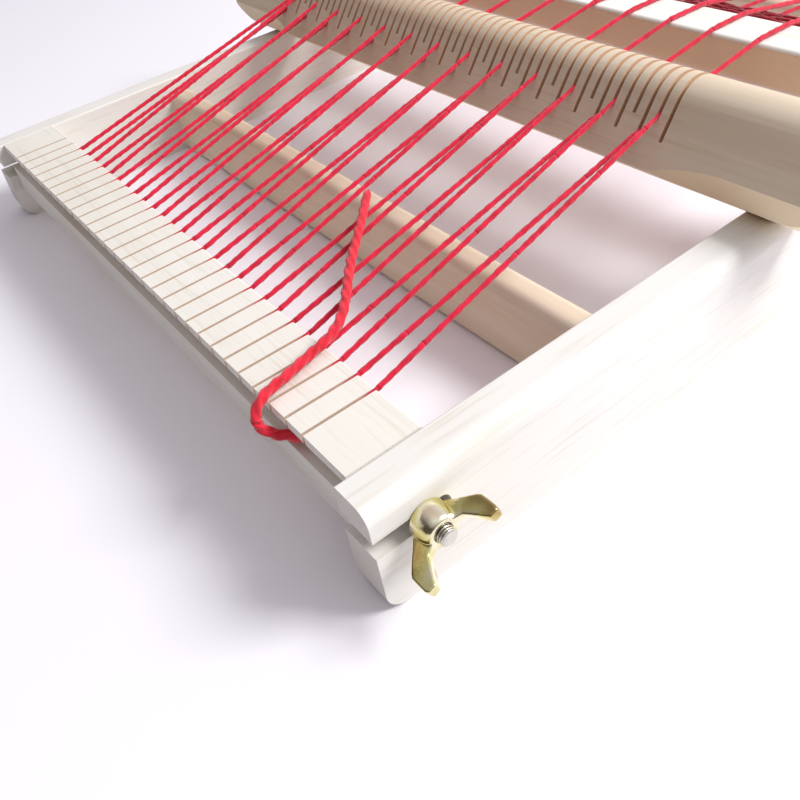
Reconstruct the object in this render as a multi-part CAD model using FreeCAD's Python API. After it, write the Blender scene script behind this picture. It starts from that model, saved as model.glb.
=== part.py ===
import FreeCAD, Part
import math
import os

from FreeCAD import Vector

# A frame loom: two side rails on edge, two stretchers between them, and a kerfed beam at each
# end whose through rod is clamped in open rail slots by wing nuts. A slotted heddle bar lies
# on the rails and rocks between two facets, which swaps the upper and the lower warp threads.
# Behind it a raised bar stands on the rails and holds the upper threads up.
#
# Frame of the part: +Z up, origin on the floor at the middle of the loom. X runs along the
# beams, Y along the rails; the front beam, with the yarn tail, is the one at -Y.

# ---- driving dimensions, mm ----
FRAME_LENGTH = 500.0
INNER_WIDTH = 330.0
RAIL_HEIGHT = 44.0
RAIL_THICKNESS = 16.0
RAIL_EDGE_RADIUS = 6.0
RAIL_TOE_RADIUS = 8.0
SMALL_ROUND = 1.0

BEAM_DEPTH = 28.0
BEAM_SETBACK = 4.5
BEAM_END_GAP = 0.3
BEAM_LIP = 4.0
BEAM_GROOVE_HEIGHT = 9.0
BEAM_GROOVE_DEPTH = 6.0
KERF_COUNT = 29
KERF_PITCH = 10.1
KERF_WIDTH = 1.2
KERF_DEPTH = 5.5

ROD_RADIUS = 3.0
ROD_DROP = 15.0
ROD_STANDOUT = 11.0
SLOT_HEIGHT = 7.0
SLOT_INWARD = 6.0
RUNNING_CLEARANCE = 0.05

NUT_HUB_RADIUS = 6.0
NUT_HUB_HEIGHT = 9.0
NUT_HEIGHT = 18.0
NUT_WING_REACH = 15.0
NUT_WING_THICKNESS = 2.8
NUT_WING_TILT = 25.0
NUT_FACE_GAP = 0.1

STRETCHER_SETBACK = 102.0
STRETCHER_THICKNESS = 13.0
STRETCHER_DROP = 9.0
STRETCHER_FLOOR_GAP = 2.0
STRETCHER_ROUND = 5.0
DOWEL_RADIUS = 3.0
DOWEL_LENGTH = 22.0
DOWEL_SPACING = 16.0

HEDDLE_LENGTH = 400.0
HEDDLE_THICKNESS = 28.0
HEDDLE_HEIGHT = 42.5
HEDDLE_Y = -65.0
HEDDLE_SLOT_COUNT = 51
HEDDLE_SLOT_PITCH = 5.47
HEDDLE_SLOT_WIDTH = 1.8
HEDDLE_SLOT_SHIFT = -5.0
HEDDLE_HIGH_FLOOR = 19.0
HEDDLE_LOW_FLOOR = 11.5
HEDDLE_FACET_WIDTH = 9.0
HEDDLE_FACET_RISE = 7.0
HEDDLE_FACET_START = 131.0
HEDDLE_FACET_FULL = 163.0
HEDDLE_NOSE_START = 184.0
HEDDLE_NOSE_RADIUS = 26.0
HEDDLE_REST_GAP = 0.05

SHED_BAR_Y = 2.5
SHED_BAR_DEPTH = 24.0
SHED_BAR_RISE = 36.0
SHED_BAR_THICKNESS = 22.0
SHED_BAR_FOOT = 18.5
SHED_BAR_ROUND = 2.0
SHED_BAR_BELLY = 8.0
SHED_BAR_REST_GAP = 0.05

THREAD_RADIUS = 0.5
THREAD_JOINT_RADIUS = 0.54
THREAD_COUNT = 27
THREAD_GAP = 0.3
THREAD_BELOW_BAR = 1.4
SHED_BAR_FORWARD_TRAVEL = 20.0
KNOT_RADIUS = 1.4
PICKS_Y = 70.5
PICKS_DEPTH = 10.0
PICKS_THICKNESS = 1.4
PICKS_SIDE_MARGIN = 4.0

TAIL_DIAMETER = 4.0
# Centre line of the loose yarn tail, chosen by hand: out of the groove, round the lip, over
# the beam and along the warp to its bare end.
TAIL_ROUTE = [
    (136.5, -242.2, 36.2),
    (131.0, -244.6, 35.4),
    (126.0, -249.3, 35.9),
    (123.4, -252.2, 40.2),
    (122.6, -251.0, 45.0),
    (120.8, -246.0, 47.7),
    (118.0, -236.0, 47.0),
    (114.8, -224.0, 47.2),
    (113.2, -214.8, 48.0),
    (108.8, -207.2, 49.2),
    (101.0, -199.8, 50.4),
    (90.6, -191.0, 52.0),
    (81.0, -181.0, 53.8),
    (70.4, -169.6, 56.0),
    (60.0, -159.4, 57.9),
]

# ---- values worked out from the driving dimensions ----
INNER_HALF = INNER_WIDTH / 2
OUTER_HALF = INNER_HALF + RAIL_THICKNESS
END_Y = FRAME_LENGTH / 2
BEAM_FACE_Y = END_Y - BEAM_SETBACK
ROD_Y = BEAM_FACE_Y - BEAM_DEPTH / 2
ROD_Z = RAIL_HEIGHT - ROD_DROP
BEAM_LENGTH = INNER_WIDTH - 2 * BEAM_END_GAP
KERF_FLOOR_Z = RAIL_HEIGHT - KERF_DEPTH
GROOVE_TOP_Z = RAIL_HEIGHT - BEAM_LIP
STRETCHER_TOP = RAIL_HEIGHT - STRETCHER_DROP
STRETCHER_Y = END_Y - STRETCHER_SETBACK - STRETCHER_THICKNESS / 2
DOWEL_Z = (STRETCHER_TOP + STRETCHER_FLOOR_GAP) / 2

HALF_HEDDLE = HEDDLE_THICKNESS / 2
HALF_KEEL = HALF_HEDDLE - HEDDLE_FACET_WIDTH
HEDDLE_TILT = math.atan2(HEDDLE_FACET_RISE, HEDDLE_FACET_WIDTH)
HINGE_HEIGHT_IN_BAR = HALF_KEEL / math.tan(HEDDLE_TILT)
HEDDLE_HINGE_Z = RAIL_HEIGHT + HALF_KEEL / math.sin(HEDDLE_TILT) + HEDDLE_REST_GAP

SHED_BAR_TOP_Z = RAIL_HEIGHT + SHED_BAR_RISE
THREAD_EDGE_Y = BEAM_FACE_Y - BEAM_DEPTH
THREAD_EDGE_Z = RAIL_HEIGHT - THREAD_RADIUS - THREAD_GAP


def block(x_range, y_range, z_range):
    """A box between two corners."""
    size = [high - low for low, high in (x_range, y_range, z_range)]
    corner = Vector(x_range[0], y_range[0], z_range[0])
    return Part.makeBox(*size, corner)


def prism_along_x(points_yz, x_start, x_end):
    """A straight prism along X from a closed outline of (y, z) points."""
    outline = [Vector(x_start, y, z) for y, z in points_yz]
    face = Part.Face(Part.makePolygon(outline + outline[:1]))
    return face.extrude(Vector(x_end - x_start, 0, 0))


def long_edges(shape, y, z, length):
    """Edges parallel to X, at least this long, at the given (y, z)."""
    found = []
    for edge in shape.Edges:
        centre = edge.BoundBox.Center
        at_place = abs(centre.y - y) < 0.01 and abs(centre.z - z) < 0.01
        if at_place and edge.BoundBox.XLength > length:
            found.append(edge)
    return found


def edges_near(shape, place):
    """Edges whose middle is at the given place; None in place matches any value."""
    found = []
    for edge in shape.Edges:
        centre = edge.BoundBox.Center
        gaps = [abs(c - p) for c, p in zip(centre, place) if p is not None]
        if max(gaps) < 0.01:
            found.append(edge)
    return found


def fuse(shapes):
    """One shape from several that touch or overlap."""
    return shapes[0].multiFuse(shapes[1:]) if len(shapes) > 1 else shapes[0]


def save(name, shape):
    """Write one node."""
    shape.exportStep("parts/" + name + ".step")
    print(name, "solids", len(shape.Solids), "volume", round(shape.Volume, 1), "valid", shape.isValid())


# ---- frame ----
def side_rail(side):
    """A rail on edge: outer top edge rounded, toes rounded, a slot open at each end."""
    x_inner = side * INNER_HALF
    x_outer = side * OUTER_HALF
    x_range = (min(x_inner, x_outer), max(x_inner, x_outer))
    rail = block(x_range, (-END_Y, END_Y), (0, RAIL_HEIGHT))
    toes = [e for y in (-END_Y, END_Y) for e in edges_near(rail, (None, y, 0))]
    rail = rail.makeFillet(RAIL_TOE_RADIUS, toes)
    top_edge = edges_near(rail, (x_outer, 0, RAIL_HEIGHT))
    rail = rail.makeFillet(RAIL_EDGE_RADIUS, top_edge)
    inner_edge = edges_near(rail, (x_inner, 0, RAIL_HEIGHT))
    rail = rail.makeFillet(SMALL_ROUND, inner_edge)
    cuts = []
    for end in (-1, 1):
        slot_end = end * (ROD_Y - SLOT_INWARD)
        mouth = end * (END_Y + 1)
        y_range = (min(slot_end, mouth), max(slot_end, mouth))
        z_range = (ROD_Z - SLOT_HEIGHT / 2, ROD_Z + SLOT_HEIGHT / 2)
        cuts.append(block(x_range, y_range, z_range))
        round_end = Part.makeCylinder(SLOT_HEIGHT / 2, RAIL_THICKNESS, Vector(x_range[0], slot_end, ROD_Z),
                                      Vector(1, 0, 0))
        cuts.append(round_end)
    for y, z in dowel_places():
        cuts.append(dowel_at(side, y, z, DOWEL_RADIUS + RUNNING_CLEARANCE))
    return rail.cut(fuse(cuts))


def dowel_places():
    """The (y, z) of every dowel at one rail."""
    return [(y, DOWEL_Z + dz)
            for y in (-STRETCHER_Y, STRETCHER_Y)
            for dz in (-DOWEL_SPACING / 2, DOWEL_SPACING / 2)]


def dowel_at(side, y, z, radius):
    """A dowel, half in the rail and half in the stretcher."""
    start = side * INNER_HALF - DOWEL_LENGTH / 2
    return Part.makeCylinder(radius, DOWEL_LENGTH, Vector(start, y, z), Vector(1, 0, 0))


def stretcher(y_sign):
    """A board between the rails with rounded top edges, held by two dowels at each end."""
    y_middle = y_sign * STRETCHER_Y
    y_range = (y_middle - STRETCHER_THICKNESS / 2, y_middle + STRETCHER_THICKNESS / 2)
    board = block((-INNER_HALF, INNER_HALF), y_range, (STRETCHER_FLOOR_GAP, STRETCHER_TOP))
    top_edges = [e for y in y_range for e in long_edges(board, y, STRETCHER_TOP, INNER_HALF)]
    board = board.makeFillet(STRETCHER_ROUND, top_edges)
    holes = [dowel_at(side, y, z, DOWEL_RADIUS + RUNNING_CLEARANCE)
             for side in (-1, 1) for y, z in dowel_places() if y * y_sign > 0]
    return board.cut(fuse(holes))


# ---- beams ----
def kerf_places():
    """X of every kerf, from left to right."""
    return [(i - (KERF_COUNT - 1) / 2) * KERF_PITCH for i in range(KERF_COUNT)]


def beam(end):
    """A square beam with a groove under its outer lip and a kerf for every warp thread."""
    outer = end * BEAM_FACE_Y
    inner = end * (BEAM_FACE_Y - BEAM_DEPTH)
    y_range = (min(outer, inner), max(outer, inner))
    half = BEAM_LENGTH / 2
    body = block((-half, half), y_range, (RAIL_HEIGHT - BEAM_DEPTH, RAIL_HEIGHT))
    bottom = [e for y in y_range for e in long_edges(body, y, RAIL_HEIGHT - BEAM_DEPTH, half)]
    top_inner = long_edges(body, inner, RAIL_HEIGHT, half)
    body = body.makeFillet(SMALL_ROUND, bottom + top_inner)
    groove_floor = end * (BEAM_FACE_Y - BEAM_GROOVE_DEPTH)
    groove_y = (min(outer, groove_floor), max(outer, groove_floor))
    groove_z = (GROOVE_TOP_Z - BEAM_GROOVE_HEIGHT, GROOVE_TOP_Z)
    cuts = [block((-half, half), groove_y, groove_z)]
    for x in kerf_places():
        cuts.append(block((x - KERF_WIDTH / 2, x + KERF_WIDTH / 2), y_range, (KERF_FLOOR_Z, RAIL_HEIGHT)))
    bore = Part.makeCylinder(ROD_RADIUS + RUNNING_CLEARANCE, BEAM_LENGTH, Vector(-half, end * ROD_Y, ROD_Z),
                             Vector(1, 0, 0))
    cuts.append(bore)
    return body.cut(fuse(cuts))


def beam_rod(end):
    """The threaded rod through a beam; its ends stand out of the wing nuts."""
    reach = OUTER_HALF + ROD_STANDOUT
    rod = Part.makeCylinder(ROD_RADIUS, 2 * reach, Vector(-reach, end * ROD_Y, ROD_Z), Vector(1, 0, 0))
    tips = [e for x in (-reach, reach) for e in edges_near(rod, (x, None, None))]
    return rod.makeChamfer(0.5, tips)


def wing_nut(end, side):
    """A tapered hub and two flared wings, its bore on the rod."""
    hub = Part.makeCone(NUT_HUB_RADIUS + 0.8, NUT_HUB_RADIUS - 0.8, NUT_HUB_HEIGHT)
    wings = [nut_wing().rotate(Vector(0, 0, 0), Vector(0, 0, 1), turn) for turn in (0, 180)]
    nut = fuse([hub] + wings)
    bore = Part.makeCylinder(ROD_RADIUS + RUNNING_CLEARANCE, NUT_HEIGHT + 1, Vector(0, 0, -0.5))
    nut = nut.cut(bore)
    nut.rotate(Vector(0, 0, 0), Vector(0, 1, 0), 90 * side)
    nut.rotate(Vector(0, 0, 0), Vector(1, 0, 0), 90 + NUT_WING_TILT if side > 0 else 90 - NUT_WING_TILT)
    nut.translate(Vector(side * (OUTER_HALF + NUT_FACE_GAP), end * ROD_Y, ROD_Z))
    return nut


def nut_wing():
    """One wing, standing on +X of the nut's own axis: a flared ear with a rounded tip."""
    half = NUT_WING_THICKNESS / 2
    tip_top = Vector(NUT_WING_REACH - 2.0, 0, NUT_HEIGHT)
    tip_out = Vector(NUT_WING_REACH, 0, NUT_HEIGHT - 3.0)
    tip_low = Vector(NUT_WING_REACH - 1.5, 0, NUT_HEIGHT - 8.0)
    under = Vector(NUT_HUB_RADIUS + 1.5, 0, 3.0)
    root_low = Vector(ROD_RADIUS + 1.0, 0, 1.0)
    root_top = Vector(ROD_RADIUS + 1.0, 0, NUT_HUB_HEIGHT - 0.5)
    shoulder = Vector(NUT_HUB_RADIUS + 1.0, 0, NUT_HUB_HEIGHT + 1.0)
    edges = [
        Part.makeLine(root_low, under),
        Part.makeLine(under, tip_low),
        Part.Arc(tip_low, tip_out, tip_top).toShape(),
        Part.makeLine(tip_top, shoulder),
        Part.makeLine(shoulder, root_top),
        Part.makeLine(root_top, root_low),
    ]
    ear = Part.Face(Part.Wire(edges)).extrude(Vector(0, NUT_WING_THICKNESS, 0))
    ear.translate(Vector(0, -half, 0))
    return ear


# ---- heddle bar ----
def heddle_slot_places():
    """X of every slot in the bar, from right to left."""
    first = HEDDLE_SLOT_SHIFT + (HEDDLE_SLOT_COUNT - 1) / 2 * HEDDLE_SLOT_PITCH
    return [first - i * HEDDLE_SLOT_PITCH for i in range(HEDDLE_SLOT_COUNT)]


def slot_floors(index):
    """Floor heights of a slot at the front and the rear face; they slope opposite ways."""
    floors = (HEDDLE_LOW_FLOOR, HEDDLE_HIGH_FLOOR)
    return floors if index % 2 == 0 else floors[::-1]


def heddle_blank():
    """The bar with its round top, standing upright on z = 0."""
    half = HEDDLE_LENGTH / 2
    shoulder = HEDDLE_HEIGHT - HALF_HEDDLE
    body = block((-half, half), (-HALF_HEDDLE, HALF_HEDDLE), (0, shoulder))
    crown = Part.makeCylinder(HALF_HEDDLE, HEDDLE_LENGTH, Vector(-half, 0, shoulder), Vector(1, 0, 0))
    return body.fuse(crown).removeSplitter()


def facet_cutter(side, face):
    """What is planed off one lower edge near one end: a flat facet with a curved run-out."""
    full = side * HEDDLE_FACET_FULL
    tip = side * (HEDDLE_LENGTH / 2 + 1)
    beyond = 1.5
    keel = face * HALF_KEEL
    outline = [
        (keel - face * HEDDLE_FACET_WIDTH * beyond, -HEDDLE_FACET_RISE * beyond),
        (keel + face * HEDDLE_FACET_WIDTH * beyond, HEDDLE_FACET_RISE * beyond),
        (keel + face * HEDDLE_FACET_WIDTH * beyond, -HEDDLE_FACET_RISE * beyond),
    ]
    flat = prism_along_x(outline, full, tip)
    depth = HEDDLE_FACET_RISE * math.cos(HEDDLE_TILT)
    run = HEDDLE_FACET_FULL - HEDDLE_FACET_START
    radius = (run ** 2 + depth ** 2) / (2 * depth)
    along = Vector(0, face * math.cos(HEDDLE_TILT), math.sin(HEDDLE_TILT))
    outward = Vector(0, face * math.sin(HEDDLE_TILT), -math.cos(HEDDLE_TILT))
    on_facet = Vector(full, keel, 0) - along * 40
    run_out = Part.makeCylinder(radius, 80, on_facet + outward * radius, along)
    keep = block((min(0, full), max(0, full)), (-60, 60), (-60, 60))
    return flat.fuse(run_out.common(keep))


def nose_cutter(side):
    """The curved underside at the bar's end."""
    start = side * HEDDLE_NOSE_START
    tip = side * (HEDDLE_LENGTH / 2 + 1)
    corner = block((min(start, tip), max(start, tip)), (-HALF_HEDDLE - 1, HALF_HEDDLE + 1), (-1, HEDDLE_NOSE_RADIUS))
    roll = Part.makeCylinder(HEDDLE_NOSE_RADIUS, HEDDLE_THICKNESS + 4,
                             Vector(start, -HALF_HEDDLE - 2, HEDDLE_NOSE_RADIUS), Vector(0, 1, 0))
    return corner.cut(roll)


def in_rest_place(shape):
    """Tip the upright bar back onto its rear facets, on top of the rails."""
    shape.translate(Vector(0, 0, -HINGE_HEIGHT_IN_BAR))
    shape.rotate(Vector(0, 0, 0), Vector(1, 0, 0), -math.degrees(HEDDLE_TILT))
    shape.translate(Vector(0, HEDDLE_Y, HEDDLE_HINGE_Z))
    return shape


def heddle_bar():
    """The slotted bar, tipped back."""
    bar = heddle_blank()
    cuts = []
    for side in (-1, 1):
        cuts += [facet_cutter(side, face) for face in (-1, 1)]
        cuts.append(nose_cutter(side))
    for cut in cuts:
        bar = bar.cut(cut)
    slots = []
    for index, x in enumerate(heddle_slot_places()):
        front, rear = slot_floors(index)
        outline = [
            (-HALF_HEDDLE, front),
            (HALF_HEDDLE, rear),
            (HALF_HEDDLE, HEDDLE_HEIGHT + 1),
            (-HALF_HEDDLE, HEDDLE_HEIGHT + 1),
        ]
        slots.append(prism_along_x(outline, x - HEDDLE_SLOT_WIDTH / 2, x + HEDDLE_SLOT_WIDTH / 2))
    return in_rest_place(bar.cut(Part.makeCompound(slots)))


def bar_point(y, z):
    """Where a point of the upright bar's section is when the bar is tipped back."""
    z -= HINGE_HEIGHT_IN_BAR
    cos_tilt = math.cos(HEDDLE_TILT)
    sin_tilt = math.sin(HEDDLE_TILT)
    return (y * cos_tilt + z * sin_tilt + HEDDLE_Y, -y * sin_tilt + z * cos_tilt + HEDDLE_HINGE_Z)


# ---- shed bar, warp and weft ----
def shed_bar():
    """A bar across the rails, rounded below, on a foot at each end."""
    y_range = (SHED_BAR_Y - SHED_BAR_DEPTH / 2, SHED_BAR_Y + SHED_BAR_DEPTH / 2)
    underside = SHED_BAR_TOP_Z - SHED_BAR_THICKNESS
    bar = block((-OUTER_HALF, OUTER_HALF), y_range, (underside, SHED_BAR_TOP_Z))
    for z, radius in ((SHED_BAR_TOP_Z, SHED_BAR_ROUND), (underside, SHED_BAR_BELLY)):
        bar = bar.makeFillet(radius, [e for y in y_range for e in long_edges(bar, y, z, OUTER_HALF)])
    feet = []
    for side in (-1, 1):
        x_range = sorted((side * OUTER_HALF, side * (OUTER_HALF - SHED_BAR_FOOT)))
        foot_z = (RAIL_HEIGHT + SHED_BAR_REST_GAP, underside + SHED_BAR_BELLY)
        foot = block(x_range, y_range, foot_z)
        uprights = [e for x in x_range for y in y_range for e in edges_near(foot, (x, y, None))]
        feet.append(foot.makeFillet(SMALL_ROUND, uprights))
    return fuse([bar] + feet)


def warp_threads():
    """(front kerf x, heddle slot x, rear kerf x, is upper, stacked) of every thread.

    From the right, upper and lower slots take turns and every second one of each is used. At the
    rear beam each thread is one kerf further left. The left edge thread shares its neighbour's
    slot and lies on top of it.
    """
    front = kerf_places()[2:]
    rear = kerf_places()[1:-1]
    slots = heddle_slot_places()
    threads = [(front[0], slots[HEDDLE_SLOT_COUNT - 2], rear[0], True, 1)]
    for place in range(THREAD_COUNT - 1):
        pair, lower = divmod(place, 2)
        right = THREAD_COUNT - 1 - place
        threads.append((front[right], slots[1 + 4 * pair + lower], rear[right], not lower, 0))
    return threads


def rod_between(start, end, radius):
    """A round thread between two points."""
    return Part.makeCylinder(radius, (end - start).Length, start, end - start)


def heddle_rest(upper, stacked):
    """(y, z) of a thread's centre line where it lies on the front edge of its slot's floor."""
    floor = HEDDLE_HIGH_FLOOR if upper else HEDDLE_LOW_FLOOR
    lift = THREAD_RADIUS + THREAD_GAP + stacked * (2 * THREAD_RADIUS + THREAD_GAP)
    return bar_point(-HALF_HEDDLE, floor + lift)


def between(start, end, fraction):
    """The point at this fraction of the way from start to end."""
    return start + (end - start) * fraction


def lower_supports():
    """(y, z) where the shed bar holds the lower threads down, over its travel towards the heddle."""
    height = SHED_BAR_TOP_Z - SHED_BAR_THICKNESS - THREAD_BELOW_BAR
    half = SHED_BAR_DEPTH / 2
    return [(SHED_BAR_Y - half - SHED_BAR_FORWARD_TRAVEL, height), (SHED_BAR_Y + half, height)]


def thread_path(front_x, slot_x, rear_x, upper, stacked):
    """Points of one thread from its knot under the front lip to its knot under the rear lip."""
    knot_y = BEAM_FACE_Y - KNOT_RADIUS - 1.6
    knot_z = GROOVE_TOP_Z - KNOT_RADIUS - 0.2
    lead_y = BEAM_FACE_Y - BEAM_GROOVE_DEPTH
    lead_z = KERF_FLOOR_Z + THREAD_RADIUS + 0.4
    rest_y, rest_z = heddle_rest(upper, stacked)
    exit_y = bar_point(0, HEDDLE_HEIGHT - HALF_HEDDLE)[0] + HALF_HEDDLE + THREAD_RADIUS
    if upper:
        flat_half = SHED_BAR_DEPTH / 2 - SHED_BAR_ROUND
        bar_z = SHED_BAR_TOP_Z + THREAD_RADIUS + THREAD_GAP
        supports = [(SHED_BAR_Y - flat_half, bar_z), (SHED_BAR_Y + flat_half, bar_z)]
    else:
        supports = lower_supports()
    next_y, next_z = supports[0]
    exit_z = between(rest_z, next_z, (exit_y - rest_y) / (next_y - rest_y))
    points = [
        Vector(front_x, -knot_y, knot_z),
        Vector(front_x, -lead_y, lead_z),
        Vector(front_x, -THREAD_EDGE_Y, THREAD_EDGE_Z),
        Vector(slot_x, rest_y, rest_z),
        Vector(slot_x, exit_y, exit_z),
    ]
    for y, z in supports:
        points.append(Vector(between(slot_x, rear_x, (y - exit_y) / (THREAD_EDGE_Y - exit_y)), y, z))
    points += [
        Vector(rear_x, THREAD_EDGE_Y, THREAD_EDGE_Z),
        Vector(rear_x, lead_y, lead_z),
        Vector(rear_x, knot_y, knot_z),
    ]
    return points


def thread_solid(points, knot_end):
    """One length of thread, a ball at each bend and a knot at its start (0) or its end (-1)."""
    pieces = [rod_between(a, b, THREAD_RADIUS) for a, b in zip(points, points[1:])]
    pieces += [Part.makeSphere(THREAD_JOINT_RADIUS, p) for p in points[1:-1]]
    pieces.append(Part.makeSphere(KNOT_RADIUS, points[knot_end]))
    return fuse(pieces)


def warp_group(upper, front):
    """All upper or all lower threads, either before or behind their heddle slot."""
    solids = []
    for front_x, slot_x, rear_x, is_upper, stacked in warp_threads():
        if is_upper == upper:
            path = thread_path(front_x, slot_x, rear_x, is_upper, stacked)
            solids.append(thread_solid(path[:4], 0) if front else thread_solid(path[3:], -1))
    return Part.makeCompound(solids)


def weft_picks():
    """The first loose picks of weft, one thin plate lying on the lower threads."""
    start_y, start_z = lower_supports()[-1]
    outline = []
    for side, lift in ((-1, 0), (1, 0), (1, PICKS_THICKNESS), (-1, PICKS_THICKNESS)):
        y = PICKS_Y + side * PICKS_DEPTH / 2
        thread_z = between(start_z, THREAD_EDGE_Z, (y - start_y) / (THREAD_EDGE_Y - start_y))
        outline.append((y, thread_z + THREAD_RADIUS + THREAD_GAP + lift))
    half = (THREAD_COUNT - 1) / 2 * KERF_PITCH + PICKS_SIDE_MARGIN
    return prism_along_x(outline, -half, half)


def tail_path(points):
    """Straight runs joined by tangent arcs, each as large as its two runs allow."""
    points = [Vector(*p) for p in points]
    edges = []
    start = points[0]
    length = 0.0
    radii = []
    for before, here, after in zip(points, points[1:], points[2:]):
        back = (before - here)
        on = (after - here)
        shorter = min(back.Length, on.Length)
        back.normalize()
        on.normalize()
        turn = math.pi - back.getAngle(on)
        cut = 0.45 * shorter
        radius = cut / math.tan(turn / 2)
        radii.append(round(radius, 1))
        enter = here + back * cut
        leave = here + on * cut
        middle_line = back + on
        middle_line.normalize()
        middle = here + middle_line * (radius / math.cos(turn / 2) - radius)
        edges.append(Part.makeLine(start, enter))
        edges.append(Part.Arc(enter, middle, leave).toShape())
        length += (enter - start).Length + radius * turn
        start = leave
    edges.append(Part.makeLine(start, points[-1]))
    length += (points[-1] - start).Length
    return Part.Wire(edges), radii, length


def yarn_tail():
    """The loose tail of thick yarn."""
    wire, radii, length = tail_path(TAIL_ROUTE)
    first = Vector(*TAIL_ROUTE[0])
    along = Vector(*TAIL_ROUTE[1]) - first
    section = Part.Wire(Part.makeCircle(TAIL_DIAMETER / 2, first, along))
    tube = wire.makePipeShell([section], True, False)
    expected = math.pi * (TAIL_DIAMETER / 2) ** 2 * length
    print("tail length", round(length, 1), "radii", radii, "volume ratio", round(tube.Volume / expected, 3))
    return tube


def main():
    """Write every node of the loom."""
    os.makedirs("parts", exist_ok=True)
    save("left_side_rail", side_rail(-1))
    save("right_side_rail", side_rail(1))
    save("front_stretcher", stretcher(-1))
    save("rear_stretcher", stretcher(1))
    dowels = [dowel_at(side, y, z, DOWEL_RADIUS) for side in (-1, 1) for y, z in dowel_places()]
    save("stretcher_dowels", Part.makeCompound(dowels))
    for end_name, end in (("front", -1), ("rear", 1)):
        save(end_name + "_beam", beam(end))
        save(end_name + "_beam_rod", beam_rod(end))
        for side_name, side in (("left", -1), ("right", 1)):
            save(end_name + "_" + side_name + "_wing_nut", wing_nut(end, side))
    save("heddle_bar", heddle_bar())
    save("shed_bar", shed_bar())
    for span_name, front in (("front", True), ("rear", False)):
        save("upper_warp_" + span_name, warp_group(True, front))
        save("lower_warp_" + span_name, warp_group(False, front))
    save("weft_picks", weft_picks())
    save("yarn_tail", yarn_tail())


main()
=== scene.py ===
import math
import random

import bpy
from mathutils import Matrix, Vector


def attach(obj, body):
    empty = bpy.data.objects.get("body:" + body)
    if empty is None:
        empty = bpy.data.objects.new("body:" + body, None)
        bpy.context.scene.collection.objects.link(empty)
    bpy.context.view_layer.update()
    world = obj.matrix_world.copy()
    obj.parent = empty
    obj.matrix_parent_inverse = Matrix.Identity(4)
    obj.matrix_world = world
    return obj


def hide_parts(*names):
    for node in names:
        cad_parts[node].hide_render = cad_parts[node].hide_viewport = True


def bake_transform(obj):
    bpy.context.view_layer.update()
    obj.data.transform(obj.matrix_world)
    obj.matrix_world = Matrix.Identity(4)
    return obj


MM = 0.001

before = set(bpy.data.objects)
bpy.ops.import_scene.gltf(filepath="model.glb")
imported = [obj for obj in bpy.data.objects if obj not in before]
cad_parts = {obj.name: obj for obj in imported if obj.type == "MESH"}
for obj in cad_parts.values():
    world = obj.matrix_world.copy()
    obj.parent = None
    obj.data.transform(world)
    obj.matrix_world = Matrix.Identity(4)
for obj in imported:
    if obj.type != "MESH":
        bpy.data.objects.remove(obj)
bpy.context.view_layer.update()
scene = bpy.context.scene
scene.view_settings.view_transform = "Standard"


# ---- camera, floor and light ----
def add_camera():
    """The main viewpoint: near the front right corner, looking down and to the left."""
    data = bpy.data.cameras.new("camera")
    data.sensor_width = 36.0
    data.lens = 39.95
    data.clip_start = 0.01
    data.shift_y = -0.121
    camera = bpy.data.objects.new("camera", data)
    right = Vector((0.6005, 0.7858, -0.1484))
    down = Vector((0.4080, -0.4595, -0.7890))
    right.normalize()
    back = -right.cross(down).normalized()
    up = back.cross(right)
    place = Matrix((right, up, back)).transposed().to_4x4()
    place.translation = Vector((326.9, -314.5, 230.3)) * MM
    camera.matrix_world = place
    scene.collection.objects.link(camera)
    scene.camera = camera


def add_area(name, place, target, size, power, colour):
    """A square soft light at a place, facing a target."""
    data = bpy.data.lights.new(name, "AREA")
    data.shape = "SQUARE"
    data.size = size
    data.energy = power
    data.color = colour
    lamp = bpy.data.objects.new(name, data)
    lamp.location = place
    lamp.rotation_euler = (Vector(target) - Vector(place)).to_track_quat("-Z", "Y").to_euler()
    scene.collection.objects.link(lamp)


def add_world(towards, stops, strength):
    """Light from all round, brightest towards one direction and dark opposite it."""
    world = bpy.data.worlds.new("studio")
    world.use_nodes = True
    nodes = world.node_tree.nodes
    links = world.node_tree.links
    coordinate = nodes.new("ShaderNodeTexCoord")
    dot = nodes.new("ShaderNodeVectorMath")
    dot.operation = "DOT_PRODUCT"
    dot.inputs[1].default_value = towards
    ramp = nodes.new("ShaderNodeValToRGB")
    for element, (position, colour) in zip(ramp.color_ramp.elements, stops):
        element.position = position
        element.color = colour
    links.new(coordinate.outputs["Generated"], dot.inputs[0])
    links.new(dot.outputs["Value"], ramp.inputs["Fac"])
    links.new(ramp.outputs["Color"], nodes["Background"].inputs["Color"])
    nodes["Background"].inputs["Strength"].default_value = strength
    scene.world = world


# ---- materials ----
WHITE = (1, 1, 1, 1)
FIGURE_SCALES = (2.0, 60.0)
PORE_SCALES = (22.0, 520.0)
# painted light and shade: how far the colours of wood()'s last argument replace the wood's own
# colour
PAINTED_LIGHT_MIX = 0.85
SQUARE_TO_GRAIN = 0.9
SCREW_THREAD_SCALE = 314.0


def new_material(name):
    """An empty material with its shader, and short ways to add and link nodes."""
    material = bpy.data.materials.new(name)
    material.use_nodes = True
    return material, material.node_tree.nodes["Principled BSDF"]


def add_node(material, kind, values=None, **settings):
    """A node with its settings and the default values of its inputs."""
    node = material.node_tree.nodes.new(kind)
    for key, value in settings.items():
        setattr(node, key, value)
    for key, value in (values or {}).items():
        node.inputs[key].default_value = value
    return node


def link(material, start, end):
    """A link from an output to an input."""
    material.node_tree.links.new(start, end)


def add_noise(material, vector, scale, detail, rough):
    """A noise value over a vector."""
    values = {"Scale": scale, "Detail": detail, "Roughness": rough}
    noise = add_node(material, "ShaderNodeTexNoise", values)
    link(material, vector, noise.inputs["Vector"])
    return noise.outputs["Fac"]


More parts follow.
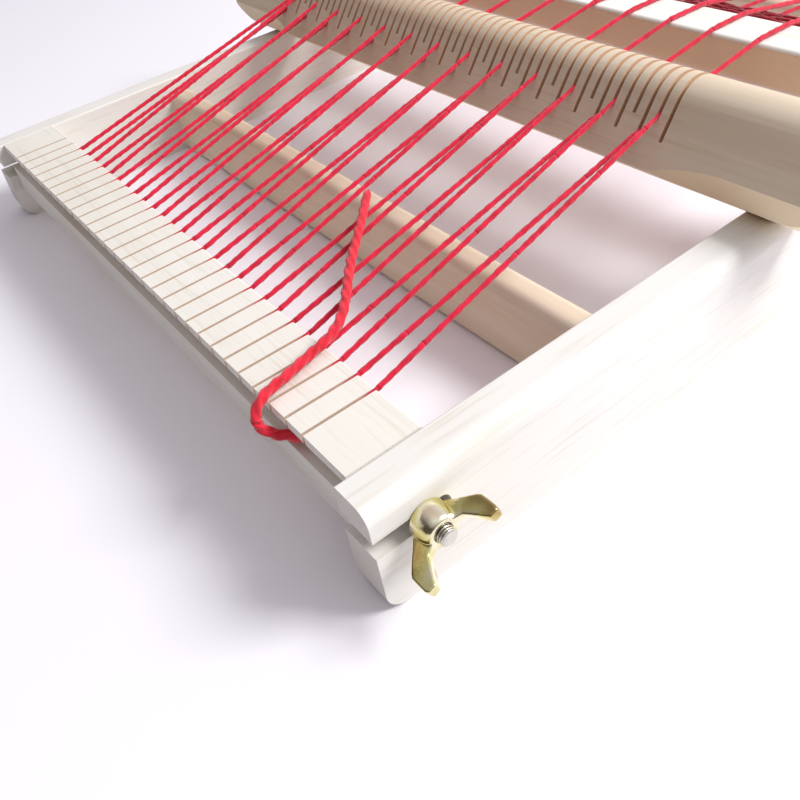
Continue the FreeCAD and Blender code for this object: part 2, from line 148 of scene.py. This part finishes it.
def stretched_place(material, scale):
    """Object coordinates with each axis scaled, for grain that runs along one of them."""
    coordinate = add_node(material, "ShaderNodeTexCoord")
    mapping = add_node(material, "ShaderNodeMapping", {"Scale": scale})
    link(material, coordinate.outputs["Object"], mapping.inputs["Vector"])
    return mapping.outputs["Vector"]


def colour_ramp(material, value, stops):
    """A colour for a value."""
    ramp = add_node(material, "ShaderNodeValToRGB")
    elements = ramp.color_ramp.elements
    while len(elements) < len(stops):
        elements.new(0.5)
    for element, (position, colour) in zip(elements, stops):
        element.position = position
        element.color = colour
    link(material, value, ramp.inputs["Fac"])
    return ramp.outputs["Color"]


def mix_colours(material, fac, first, second, blend="MIX"):
    """Two colours mixed; each is an output or a plain colour, and fac an output or a number."""
    mix = add_node(material, "ShaderNodeMixRGB", blend_type=blend)
    for socket, value in (("Fac", fac), ("Color1", first), ("Color2", second)):
        if isinstance(value, (float, tuple)):
            mix.inputs[socket].default_value = value
        else:
            link(material, value, mix.inputs[socket])
    return mix.outputs["Color"]


def calculate(material, operation, *values):
    """A Math node over outputs or numbers."""
    node = add_node(material, "ShaderNodeMath", operation=operation)
    for socket, value in zip(node.inputs, values):
        if isinstance(value, float):
            socket.default_value = value
        else:
            link(material, value, socket)
    return node.outputs["Value"]


def facing(material, axis):
    """How far a face points along an axis, either way: 1 where it is square to it."""
    geometry = add_node(material, "ShaderNodeNewGeometry")
    split = add_node(material, "ShaderNodeSeparateXYZ")
    link(material, geometry.outputs["True Normal"], split.inputs["Vector"])
    return calculate(material, "ABSOLUTE", split.outputs[axis])


def add_bump(material, shader, height, strength, distance):
    """Bump from a height value."""
    bump = add_node(material, "ShaderNodeBump", {"Strength": strength, "Distance": distance})
    link(material, height, bump.inputs["Height"])
    link(material, bump.outputs["Normal"], shader.inputs["Normal"])


def add_roughness(material, shader, value, low, high):
    """Roughness between two limits from a value."""
    shine = add_node(material, "ShaderNodeMapRange", {"To Min": low, "To Max": high})
    link(material, value, shine.inputs["Value"])
    link(material, shine.outputs["Result"], shader.inputs["Roughness"])


def wood(name, pale, dark, along, sawn, roughness=0.55, sawn_within=10.0, painted_light_by_facing=()):
    """Close-grained wood: long soft figure, fine pores, and another colour on the end grain.

    The end grain's colour is kept within a distance of the middle. The last argument has (limit,
    colour)
    pairs of painted light and shade: faces whose rest normal has a lower Z than the limit take
    that colour, standing in for the shade and the bounce light that those faces get.
    """
    material, shader = new_material(name)
    long_scale = tuple(FIGURE_SCALES[axis != along] for axis in "XYZ")
    pore_scale = tuple(PORE_SCALES[axis != along] for axis in "XYZ")
    figure = add_noise(material, stretched_place(material, long_scale), 1.0, 4.0, 0.6)
    pores = add_noise(material, stretched_place(material, pore_scale), 1.0, 2.0, 0.6)
    patches = add_noise(material, stretched_place(material, (9.0, 9.0, 9.0)), 1.0, 2.0, 0.5)
    colour = colour_ramp(material, figure, [(0.34, dark), (0.58, pale)])
    pore_tint = colour_ramp(material, pores, [(0.28, (0.92, 0.89, 0.84, 1)), (0.46, WHITE)])
    colour = mix_colours(material, 1.0, colour, pore_tint, "MULTIPLY")
    patch_tint = colour_ramp(material, patches, [(0.3, (0.95, 0.93, 0.89, 1)), (0.7, WHITE)])
    colour = mix_colours(material, 1.0, colour, patch_tint, "MULTIPLY")
    coordinate = add_node(material, "ShaderNodeTexCoord")
    normal = add_node(material, "ShaderNodeSeparateXYZ")
    link(material, coordinate.outputs["Normal"], normal.inputs["Vector"])
    # painted light and shade: faces whose rest normal points lower than a limit take that pair's
    # colour
    for limit, painted_colour in painted_light_by_facing:
        low = calculate(material, "LESS_THAN", normal.outputs["Z"], limit)
        painted_light_colour = mix_colours(material, PAINTED_LIGHT_MIX, colour, painted_colour)
        colour = mix_colours(material, low, colour, painted_light_colour)
    place = add_node(material, "ShaderNodeSeparateXYZ")
    link(material, coordinate.outputs["Object"], place.inputs["Vector"])
    wall = calculate(material, "GREATER_THAN", facing(material, along), SQUARE_TO_GRAIN)
    distance = calculate(material, "ABSOLUTE", place.outputs[along])
    near = calculate(material, "LESS_THAN", distance, sawn_within)
    colour = mix_colours(material, calculate(material, "MULTIPLY", wall, near), colour, sawn)
    link(material, colour, shader.inputs["Base Color"])
    add_roughness(material, shader, pores, roughness - 0.08, roughness + 0.1)
    shader.inputs["Specular IOR Level"].default_value = 0.35
    add_bump(material, shader, pores, 0.25, 0.0003)
    return material


def yellow_zinc():
    """Yellow-passivated zinc: green, gold and rose patches on bright metal."""
    material, shader = new_material("yellow_zinc_plating")
    even = stretched_place(material, (1.0, 1.0, 1.0))
    patches = add_noise(material, even, 95.0, 1.0, 0.4)
    grain = add_noise(material, even, 1400.0, 2.0, 0.6)
    colour = colour_ramp(material, patches, [
        (0.30, (0.44, 0.32, 0.12, 1)),
        (0.42, (0.70, 0.63, 0.24, 1)),
        (0.56, (0.86, 0.82, 0.62, 1)),
        (0.68, (0.62, 0.44, 0.30, 1)),
    ])
    link(material, colour, shader.inputs["Base Color"])
    shader.inputs["Metallic"].default_value = 1.0
    add_roughness(material, shader, grain, 0.10, 0.26)
    add_bump(material, shader, grain, 0.12, 0.0002)
    return material


def threaded_steel():
    """Plated steel rod whose screw thread is a fine bump along X."""
    material, shader = new_material("threaded_steel")
    even = stretched_place(material, (1.0, 1.0, 1.0))
    wave_values = {"Scale": SCREW_THREAD_SCALE, "Distortion": 0.0}
    wave = add_node(material, "ShaderNodeTexWave", wave_values, bands_direction="X")
    link(material, even, wave.inputs["Vector"])
    patches = add_noise(material, even, 200.0, 2.0, 0.5)
    colour = colour_ramp(material, patches, [
        (0.35, (0.46, 0.43, 0.36, 1)),
        (0.65, (0.68, 0.66, 0.60, 1)),
    ])
    link(material, colour, shader.inputs["Base Color"])
    shader.inputs["Metallic"].default_value = 1.0
    add_roughness(material, shader, patches, 0.28, 0.45)
    add_bump(material, shader, wave.outputs["Fac"], 0.8, 0.0006)
    return material


def wool(name, deep, bright):
    """Wool yarn: uneven dye, fibre-scale bump and a soft sheen."""
    material, shader = new_material(name)
    even = stretched_place(material, (1.0, 1.0, 1.0))
    fibres = add_noise(material, even, 2600.0, 3.0, 0.7)
    cloudy = add_noise(material, even, 260.0, 2.0, 0.5)
    both = mix_colours(material, 0.45, fibres, cloudy)
    colour = colour_ramp(material, both, [(0.34, deep), (0.62, bright)])
    link(material, colour, shader.inputs["Base Color"])
    add_roughness(material, shader, fibres, 0.78, 0.98)
    shader.inputs["Specular IOR Level"].default_value = 0.2
    shader.inputs["Sheen Weight"].default_value = 0.35
    shader.inputs["Sheen Roughness"].default_value = 0.5
    add_bump(material, shader, fibres, 0.6, 0.0004)
    return material


# ---- yarn ----
FIBRE_WIDTH = 0.035


def mesh_object(name, vertices, faces, material, smooth=True):
    """A mesh object from lists."""
    mesh = bpy.data.meshes.new(name)
    mesh.from_pydata(vertices, [], faces)
    mesh.materials.append(material)
    mesh.polygons.foreach_set("use_smooth", [smooth] * len(mesh.polygons))
    mesh.update()
    obj = bpy.data.objects.new(name, mesh)
    scene.collection.objects.link(obj)
    return obj


class Yarn:
    """Gathers plied strands and stray fibres, then makes one mesh of them."""

    def __init__(self, seed):
        self.vertices = []
        self.faces = []
        self.chance = random.Random(seed)

    def ring(self, centre, along, angle, radius, plies, squeeze, count=12, depth=0.09):
        """The points of one cross-section: lobes for the plies, squeezed along X where asked."""
        side = along.cross(Vector((0, 0, 1)))
        side.normalize()
        rise = side.cross(along)
        points = []
        for i in range(count):
            turn = 2 * math.pi * i / count
            reach = radius * (1 - depth + depth * math.cos(plies * (turn - angle)))
            offset = side * (math.cos(turn) * reach * squeeze) + rise * (math.sin(turn) * reach)
            points.append(centre + offset)
        return points

    def tube(self, rings):
        """A closed tube through rings."""
        start = len(self.vertices)
        count = len(rings[0])
        for points in rings:
            self.vertices += points
        for r in range(len(rings) - 1):
            a = start + r * count
            for i in range(count):
                j = (i + 1) % count
                self.faces.append((a + i, a + j, a + count + j, a + count + i))
        self.faces.append(tuple(start + i for i in reversed(range(count))))
        self.faces.append(tuple(start + (len(rings) - 1) * count + i for i in range(count)))

    def fibre(self, root, along, radius, length):
        """One stray fibre: a thin bent three-sided whisker leaving the yarn."""
        chance = self.chance
        turn = chance.uniform(0, 2 * math.pi)
        side = along.cross(Vector((0, 0, 1))).normalized()
        rise = side.cross(along)
        out = side * math.cos(turn) + rise * math.sin(turn)
        lean = along * chance.uniform(-1.2, 1.2)
        curl = out.cross(along) * chance.uniform(-0.7, 0.7)
        width = FIBRE_WIDTH * MM
        rings = []
        for step in range(4):
            t = step / 3
            away = out * 0.75 + lean + curl * t
            middle = root + out * radius * 0.9 + away * (length * t * (1 - 0.25 * t))
            thin = width * (1 - 0.6 * t)
            low = middle - (side + rise) * thin * 0.7
            rings.append([middle + side * thin, middle + rise * thin, low])
        self.tube(rings)

    def finish(self, name, material):
        """The mesh object."""
        return mesh_object(name, self.vertices, self.faces, material)


# ---- warp ----
KERF_PITCH = 10.1
THREADS = 27
SLOT_PITCH = 5.47
FIRST_SLOT_X = 131.75
RAIL_TOP = 44.0
BEAM_EDGE_Y = 217.5
YARN_RADIUS = 1.1
SLOT_SQUEEZE = 0.7
KERF_SQUEEZE = 0.46
SLOT_COUNT = 51
THREAD_END = (243.6, 37.6)
BEAM_LIP = (239.5, 39.9)
BEAM_EDGE_Z = RAIL_TOP - 0.6
# (y, z) where the threads rest in the high and the low slots, and leave them.
UPPER_REST = (-67.6, 71.7)
LOWER_REST = (-72.2, 65.75)
STACKED_LIFT = 1.6
SLOT_EXIT_Y = -37.0
# (y, z) where the shed bar holds the threads, over its top and under its bottom.
UPPER_SUPPORTS = [(-7.5, 81.25), (12.5, 81.25)]
LOWER_SUPPORTS = [(-29.5, 56.6), (14.5, 56.6)]
CORNER_SHIFTS = (-1.6, -0.8, 0.0, 0.8, 1.6)
KERF_START_Y = 216.6
KERF_START_LENGTH = 1.6
SLOT_HALF_LENGTH = 18.5
SLOT_MIDDLE_Y = -55.5
SLOT_START_LENGTH = 2.0
YARN_LAY = 14.0
RING_STEP = 0.9
KNOT_PLACE = (242.3, 37.4)

# Along the warp: each span's name, its ends in Y, and the body it follows, or the two bodies it
# runs between; a span between two bodies is baked in place and follows neither.
SPANS = [
    ("front_kerfs", -THREAD_END[0], -217.0, "front_beam", None),
    ("front_edge", -217.0, -196.0, "front_beam", "front_rod"),
    ("front_leads", -196.0, -150.0, "front_rod", "frame"),
    ("front_span", -150.0, -104.0, "frame", None),
    ("heddle_leads", -104.0, -76.0, "frame", "heddle"),
    ("heddle_span", -76.0, -40.0, "heddle", "frame"),
    ("middle_span", -40.0, -9.0, "frame", "shed"),
    ("over_bar", -9.0, 14.0, "shed", None),
    ("rear_span", 14.0, 130.0, "shed", "frame"),
    ("rear_leads", 130.0, 196.0, "frame", "rear_rod"),
    ("rear_edge", 196.0, 217.0, "rear_rod", "rear_beam"),
    ("rear_kerfs", 217.0, THREAD_END[0], "rear_beam", None),
]
LOWER_SPANS = SPANS[:6] + [("middle_span", -40.0, 130.0, "frame", None)] + SPANS[9:]


def warp_threads():
    """(front kerf x, slot x, rear kerf x, is upper, stacked) of every thread, as in the CAD."""
    slots = [FIRST_SLOT_X - i * SLOT_PITCH for i in range(SLOT_COUNT)]
    rear = [(i - (THREADS - 1) / 2) * KERF_PITCH for i in range(THREADS)]
    front = [x + KERF_PITCH for x in rear]
    threads = [(front[0], slots[SLOT_COUNT - 2], rear[0], True, 1)]
    for place in range(THREADS - 1):
        pair, lower = divmod(place, 2)
        right = THREADS - 1 - place
        threads.append((front[right], slots[1 + 4 * pair + lower], rear[right], not lower, 0))
    return threads


def warp_route(front_x, slot_x, rear_x, upper, stacked):
    """Corners of one thread's centre line, in millimetres."""
    rest_y, rest_z = UPPER_REST if upper else LOWER_REST
    if upper:
        rest_z += stacked * STACKED_LIFT
    supports = UPPER_SUPPORTS if upper else LOWER_SUPPORTS
    next_y, next_z = supports[0]
    exit_z = rest_z + (next_z - rest_z) * (SLOT_EXIT_Y - rest_y) / (next_y - rest_y)
    (end_y, end_z), (lip_y, lip_z) = THREAD_END, BEAM_LIP
    route = [
        (front_x, -end_y, end_z),
        (front_x, -lip_y, lip_z),
        (front_x, -BEAM_EDGE_Y, BEAM_EDGE_Z),
        (slot_x, rest_y, rest_z),
        (slot_x, SLOT_EXIT_Y, exit_z),
    ]
    for y, z in supports:
        share = (y - SLOT_EXIT_Y) / (BEAM_EDGE_Y - SLOT_EXIT_Y)
        route.append((slot_x + (rear_x - slot_x) * share, y, z))
    rear = [(BEAM_EDGE_Y, BEAM_EDGE_Z), BEAM_LIP, THREAD_END]
    return route + [(rear_x, y, z) for y, z in rear]


def route_at(route, y):
    """The point of a route at a given Y."""
    for (x0, y0, z0), (x1, y1, z1) in zip(route, route[1:]):
        if y <= y1 or (x1, y1, z1) == route[-1]:
            t = (y - y0) / (y1 - y0)
            return Vector((x0 + (x1 - x0) * t, y, z0 + (z1 - z0) * t)) * MM


def soft_point(route, y):
    """A point of the route with its corners slightly rounded."""
    low, high = route[0][1], route[-1][1]
    near = [route_at(route, min(max(y + shift, low), high)) for shift in CORNER_SHIFTS]
    place = sum(near, Vector()) / len(near)
    place.y = y * MM
    return place


def squeeze_at(y):
    """How far a thread is pressed flat: in the kerfs and in the heddle slots."""
    in_kerf = min(max((abs(y) - KERF_START_Y) / KERF_START_LENGTH, 0.0), 1.0)
    in_slot = min(max((SLOT_HALF_LENGTH - abs(y - SLOT_MIDDLE_Y)) / SLOT_START_LENGTH, 0.0), 1.0)
    return 1.0 - in_kerf * (1 - KERF_SQUEEZE) - in_slot * (1 - SLOT_SQUEEZE)


def steps_between(low, high, step):
    """Evenly spaced numbers from low to high."""
    count = max(2, round((high - low) / step))
    return [low + (high - low) * i / count for i in range(count + 1)]


def warp_piece(name, span, upper, material):
    """One span of every upper or every lower thread."""
    low, high = span[1:3]
    end = THREAD_END[0]
    yarn = Yarn(name)
    for front_x, slot_x, rear_x, is_upper, stacked in warp_threads():
        if is_upper != upper:
            continue
        route = warp_route(front_x, slot_x, rear_x, is_upper, stacked)
        rings = []
        phase = slot_x * 0.7
        for y in steps_between(low, high, RING_STEP):
            centre = soft_point(route, y)
            along = soft_point(route, min(y + 0.5, end)) - soft_point(route, max(y - 0.5, -end))
            along.normalize()
            wobble = 1 + 0.05 * math.sin(y * 0.83 + phase) + 0.04 * math.sin(y * 0.31 + 2 * phase)
            angle = y * 2 * math.pi / YARN_LAY + phase
            radius = YARN_RADIUS * MM * wobble
            squeeze = squeeze_at(y)
            rings.append(yarn.ring(centre, along, angle, radius, 3, squeeze))
            if squeeze > 0.99 and yarn.chance.random() < 0.6:
                yarn.fibre(centre, along, YARN_RADIUS * MM, yarn.chance.uniform(0.5, 1.7) * MM)
        yarn.tube(rings)
        if "kerfs" in span[0]:
            knot_x = front_x if low < 0 else rear_x
            knot_y, knot_z = KNOT_PLACE
            add_knot(yarn, Vector((knot_x, math.copysign(knot_y, low + high), knot_z)) * MM)
    return yarn.finish(name, material)


def add_knot(yarn, centre):
    """A small overhand knot: a tight trefoil of yarn."""
    rings = []
    count = 40

    def place(t):
        return Vector((
            0.62 * (math.sin(t) + 2 * math.sin(2 * t)) * 0.42,
            -0.75 * math.sin(3 * t) * 0.55,
            0.62 * (math.cos(t) - 2 * math.cos(2 * t)) * 0.42,
        )) * MM

    for i in range(count + 1):
        t = 2 * math.pi * i / count
        along = (place(t + 0.05) - place(t - 0.05)).normalized()
        rings.append(yarn.ring(centre + place(t), along, 3 * t, 0.55 * MM, 2, 1.0, 8))
    yarn.tube(rings)


def add_warp(material):
    """Every span of the warp: a span with one body follows it, and a span between two bodies is
    baked in place.
    """
    for group, upper, spans in (("upper_warp", True, SPANS), ("lower_warp", False, LOWER_SPANS)):
        nodes = [group + "_front", group + "_rear"]
        for span in spans:
            label, low, high, first, second = span
            piece = warp_piece(group + "_" + label, span, upper, material)
            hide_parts(nodes[0] if low < -60 else nodes[1])
            if second is None:
                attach(piece, first)
            else:
                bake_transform(piece)


# (y, lift) of each pick.
PICK_ROWS = ((67.4, 0.0), (69.9, 0.4), (72.2, 0.1), (74.0, 0.5))
PICK_HALF_LENGTH = 133.0


def add_picks(material, fluff):
    """The first loose picks of weft and the pale fluff on them, lying on the lower threads."""
    yarn = Yarn("picks")
    pale = Yarn("fluff")
    for row, (y_row, lift) in enumerate(PICK_ROWS):
        rings = []
        for x in steps_between(-PICK_HALF_LENGTH, PICK_HALF_LENGTH, 1.1):
            y = y_row + 0.5 * math.sin(x * 0.19 + row * 1.9) + 0.3 * math.sin(x * 0.53 + row)
            weave = 0.35 * math.cos(x * math.pi / 10 + row * math.pi)
            z = lower_warp_height(y) + YARN_RADIUS * 1.95 + lift + weave
            centre = Vector((x, y, z)) * MM
            along = Vector((1, 0.05 * math.cos(x * 0.19), 0))
            along.normalize()
            rings.append(yarn.ring(centre, along, x * 0.7 + row, 1.0 * MM, 2, 1.0, 10))
            if yarn.chance.random() < 0.8:
                yarn.fibre(centre, along, 1.0 * MM, yarn.chance.uniform(0.8, 2.2) * MM)
            if row in (0, 1) and pale.chance.random() < 0.75:
                back, up = pale.chance.uniform(-1.4, 0.6), pale.chance.uniform(-0.2, 0.6)
                root = centre + Vector((0, back, up)) * MM
                pale.fibre(root, along, 0.9 * MM, pale.chance.uniform(1.0, 3.2) * MM)
        yarn.tube(rings)
    for name, gathered, finish in (("weft_yarn", yarn, material), ("weft_fluff", pale, fluff)):
        piece = gathered.finish(name, finish)
        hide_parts("weft_picks")
        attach(piece, "frame")


def lower_warp_height(y):
    """Height of the lower threads' centre lines behind the heddle bar, in millimetres."""
    start_y, start_z = LOWER_SUPPORTS[-1]
    return start_z + (BEAM_EDGE_Z - start_z) * (y - start_y) / (BEAM_EDGE_Y - start_y)


# ---- yarn tail ----
TAIL_RADIUS = 2.0
TAIL_LAY = 17.0
# The CAD tail's centre line: out of the groove, round the lip, over the beam and along the warp.
TAIL_ROUTE = [
    (136.5, -242.2, 36.2),
    (131.0, -244.6, 35.4),
    (126.0, -249.3, 35.9),
    (123.4, -252.2, 40.2),
    (122.6, -251.0, 45.0),
    (120.8, -246.0, 47.7),
    (118.0, -236.0, 47.0),
    (114.8, -224.0, 47.2),
    (113.2, -214.8, 48.0),
    (108.8, -207.2, 49.2),
    (101.0, -199.8, 50.4),
    (90.6, -191.0, 52.0),
    (81.0, -181.0, 53.8),
    (70.4, -169.6, 56.0),
    (60.0, -159.4, 57.9),
]


def tail_line():
    """Points along the smooth curve of the tail's route."""
    curve = bpy.data.curves.new("tail_line", "CURVE")
    curve.dimensions = "3D"
    curve.resolution_u = 12
    spline = curve.splines.new("NURBS")
    spline.points.add(len(TAIL_ROUTE) - 1)
    for point, place in zip(spline.points, TAIL_ROUTE):
        point.co = (*(c * MM for c in place), 1)
    spline.order_u = 3
    spline.use_endpoint_u = True
    holder = bpy.data.objects.new("tail_line", curve)
    scene.collection.objects.link(holder)
    bpy.context.view_layer.update()
    mesh = bpy.data.meshes.new_from_object(holder)
    points = [v.co.copy() for v in mesh.vertices]
    bpy.data.objects.remove(holder)
    return points


def add_tail(material):
    """The loose tail: thick three-ply yarn with stray fibres and a teased bare end."""
    points = tail_line()
    yarn = Yarn("tail")
    radius = TAIL_RADIUS * MM
    rings = []
    run = 0.0
    for i, centre in enumerate(points):
        before = points[max(i - 1, 0)]
        after = points[min(i + 1, len(points) - 1)]
        along = (after - before).normalized()
        run += (centre - before).length
        taper = min(1.0, 0.7 + (len(points) - 1 - i) / 5)
        uneven = 1 - 0.04 * math.sin(run / MM * 0.9) ** 2
        angle = run / MM * 2 * math.pi / TAIL_LAY
        rings.append(yarn.ring(centre, along, angle, radius * taper * uneven, 3, 1.0, 24, 0.13))
        for _ in range(4):
            yarn.fibre(centre, along, radius * taper, yarn.chance.uniform(0.5, 1.8) * MM)
    yarn.tube(rings)
    piece = yarn.finish("yarn_tail_plied", material)
    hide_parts("yarn_tail")
    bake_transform(piece)


# ---- wing nuts ----
NUT_TILT = 25.0
NUT_SEAT_X = 181.15
NUT_ROD_Y = 231.5
NUT_ROD_Z = 29.0


def lathe(profile, count=48):
    """Vertices and faces of a closed solid of revolution about Z from (radius, z) points."""
    vertices = []
    faces = []
    for radius, z in profile:
        for i in range(count):
            turn = 2 * math.pi * i / count
            vertices.append((radius * math.cos(turn), radius * math.sin(turn), z))
    rows = len(profile)
    for row in range(rows):
        after = (row + 1) % rows
        for i in range(count):
            j = (i + 1) % count
            faces.append((row * count + i, row * count + j, after * count + j, after * count + i))
    return vertices, faces


def ear(side):
    """Vertices and faces of one wing: a thick plate with a swelling tip."""
    outline = [
        (3.4, 1.0), (7.2, 2.4), (10.6, 5.8), (14.2, 9.2), (15.0, 10.4), (15.2, 13.4),
        (15.2, 16.4), (14.4, 17.6), (11.8, 17.5), (9.4, 13.4), (7.2, 9.6), (3.4, 8.0),
    ]
    vertices = []
    count = len(outline)
    for face in (-1, 1):
        for r, z in outline:
            half = 1.6 + 0.5 * min(max((r - 7.0) / 8.0, 0.0), 1.0)
            vertices.append((side * r, side * face * half, z))
    faces = [tuple(reversed(range(count))), tuple(range(count, 2 * count))]
    for i in range(count):
        j = (i + 1) % count
        faces.append((i, j, count + j, count + i))
    return vertices, faces


def nut_mesh(material):
    """A cast wing nut standing on z = 0: hub, wings and fillets fused into one skin."""
    profile = [
        (3.12, 0.0), (6.5, 0.0), (6.8, 0.5), (6.7, 3.0), (6.3, 5.8), (5.9, 7.2),
        (5.2, 8.1), (4.1, 8.4), (3.3, 8.1), (3.12, 7.6),
    ]
    vertices = []
    faces = []
    for part_vertices, part_faces in (lathe(profile), ear(1), ear(-1)):
        start = len(vertices)
        vertices += part_vertices
        faces += [tuple(start + i for i in face) for face in part_faces]
    whole = mesh_object("wing_nut_form", [Vector(v) * MM for v in vertices], faces, material)
    remesh = whole.modifiers.new("skin", "REMESH")
    remesh.mode = "VOXEL"
    remesh.voxel_size = 0.3 * MM
    smooth = whole.modifiers.new("soften", "SMOOTH")
    smooth.factor = 0.5
    smooth.iterations = 5
    bpy.context.view_layer.update()
    shape = whole.evaluated_get(bpy.context.evaluated_depsgraph_get())
    mesh = bpy.data.meshes.new_from_object(shape)
    bpy.data.objects.remove(whole)
    mesh.materials.clear()
    mesh.materials.append(material)
    mesh.polygons.foreach_set("use_smooth", [True] * len(mesh.polygons))
    return mesh


def add_wing_nuts(material):
    """The four wing nuts, each on its rod and standing in for its CAD node."""
    mesh = nut_mesh(material)
    tilt = math.radians(NUT_TILT)
    for end, y in (("front", -NUT_ROD_Y), ("rear", NUT_ROD_Y)):
        for side, sign in (("left", -1), ("right", 1)):
            name = end + "_" + side
            nut = bpy.data.objects.new(name + "_cast_nut", mesh)
            stand = Matrix.Rotation(sign * math.pi / 2, 4, "Y")
            turn = Matrix.Rotation(math.pi / 2 + sign * tilt, 4, "X")
            seat = Vector((sign * NUT_SEAT_X, y, NUT_ROD_Z)) * MM
            nut.matrix_world = Matrix.Translation(seat) @ turn @ stand
            scene.collection.objects.link(nut)
            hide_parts(name + "_wing_nut")
            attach(nut, name + "_nut")


# ---- finishes of the CAD nodes ----
def paint(node, material):
    """Give a CAD node's object a material in every slot."""
    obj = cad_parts[node]
    if not obj.material_slots:
        obj.data.materials.append(material)
    for place in obj.material_slots:
        place.material = material


def paint_all():
    """Every hard piece's finish."""
    pale = (0.80, 0.79, 0.765, 1)
    cream = (0.79, 0.765, 0.71, 1)
    tan = (0.66, 0.52, 0.40, 1)
    rails = wood("rail_wood", pale, (0.785, 0.772, 0.745, 1), "Y", (0.70, 0.67, 0.62, 1))
    beams = wood("beam_wood", (0.82, 0.80, 0.75, 1), cream, "X", tan, sawn_within=0.155)
    # painted shade in tan on the shed bar's front, back and ends, and painted bounce light from
    # the floor in pale pink on its underside
    bar_painted_shade_and_bounce = [(0.35, (0.80, 0.58, 0.40, 1)), (-0.35, (0.80, 0.72, 0.70, 1))]
    tall = wood("shed_bar_wood", (0.86, 0.85, 0.82, 1), (0.80, 0.79, 0.76, 1), "X", tan,
                painted_light_by_facing=bar_painted_shade_and_bounce)
    stretchers = wood("stretcher_wood", (0.80, 0.70, 0.56, 1), (0.74, 0.61, 0.46, 1), "X", tan)
    # painted bounce light from the floor and the rails, in pale yellow, on the heddle bar's faces
    # turned down
    heddle = wood("heddle_wood_painted_bounce", (0.74, 0.64, 0.51, 1), (0.66, 0.54, 0.41, 1), "X",
                  (0.70, 0.47, 0.30, 1), roughness=0.5,
                  painted_light_by_facing=[(-0.15, (0.88, 0.74, 0.52, 1))])
    rod = threaded_steel()
    for side in ("left", "right"):
        paint(side + "_side_rail", rails)
    for end in ("front", "rear"):
        paint(end + "_beam", beams)
        paint(end + "_stretcher", stretchers)
        paint(end + "_beam_rod", rod)
    paint("stretcher_dowels", stretchers)
    paint("heddle_bar", heddle)
    paint("shed_bar", tall)


FLOOR_HALF_SIZE = 40.0


def add_floor():
    """A plain pale floor."""
    material, shader = new_material("floor_paper")
    place = stretched_place(material, (1.0, 1.0, 1.0))
    mottle = add_noise(material, place, 3.0, 2.0, 0.5)
    colour = colour_ramp(material, mottle, [
        (0.3, (0.88, 0.86, 0.91, 1)),
        (0.7, (0.90, 0.885, 0.93, 1)),
    ])
    link(material, colour, shader.inputs["Base Color"])
    shader.inputs["Roughness"].default_value = 0.9
    size = FLOOR_HALF_SIZE
    corners = [(-size, -size, 0), (size, -size, 0), (size, size, 0), (-size, size, 0)]
    floor = mesh_object("floor", [Vector(c) for c in corners], [(0, 1, 2, 3)], material, False)


add_camera()
red = wool("red_wool_yarn", (0.42, 0.004, 0.022, 1), (0.80, 0.012, 0.055, 1))
thick_red = wool("thick_red_wool", (0.50, 0.006, 0.018, 1), (0.88, 0.03, 0.06, 1))
dark_red = wool("dark_red_wool", (0.20, 0.002, 0.01, 1), (0.42, 0.008, 0.03, 1))
fluff_white = wool("pale_fluff", (0.70, 0.52, 0.54, 1), (0.90, 0.82, 0.82, 1))
add_tail(thick_red)
add_warp(red)
add_picks(dark_red, fluff_white)
add_wing_nuts(yellow_zinc())
paint_all()
add_floor()
add_world((0.1, 0.5, 0.86), [(0.1, (0.10, 0.08, 0.07, 1)), (0.75, (0.97, 0.95, 1.0, 1))], 0.85)
add_area("key", (1.0, 0.95, 1.3), (0.0, 0.0, 0.0), 0.7, 38.0, (1.0, 0.99, 0.98))

bpy.context.view_layer.update()
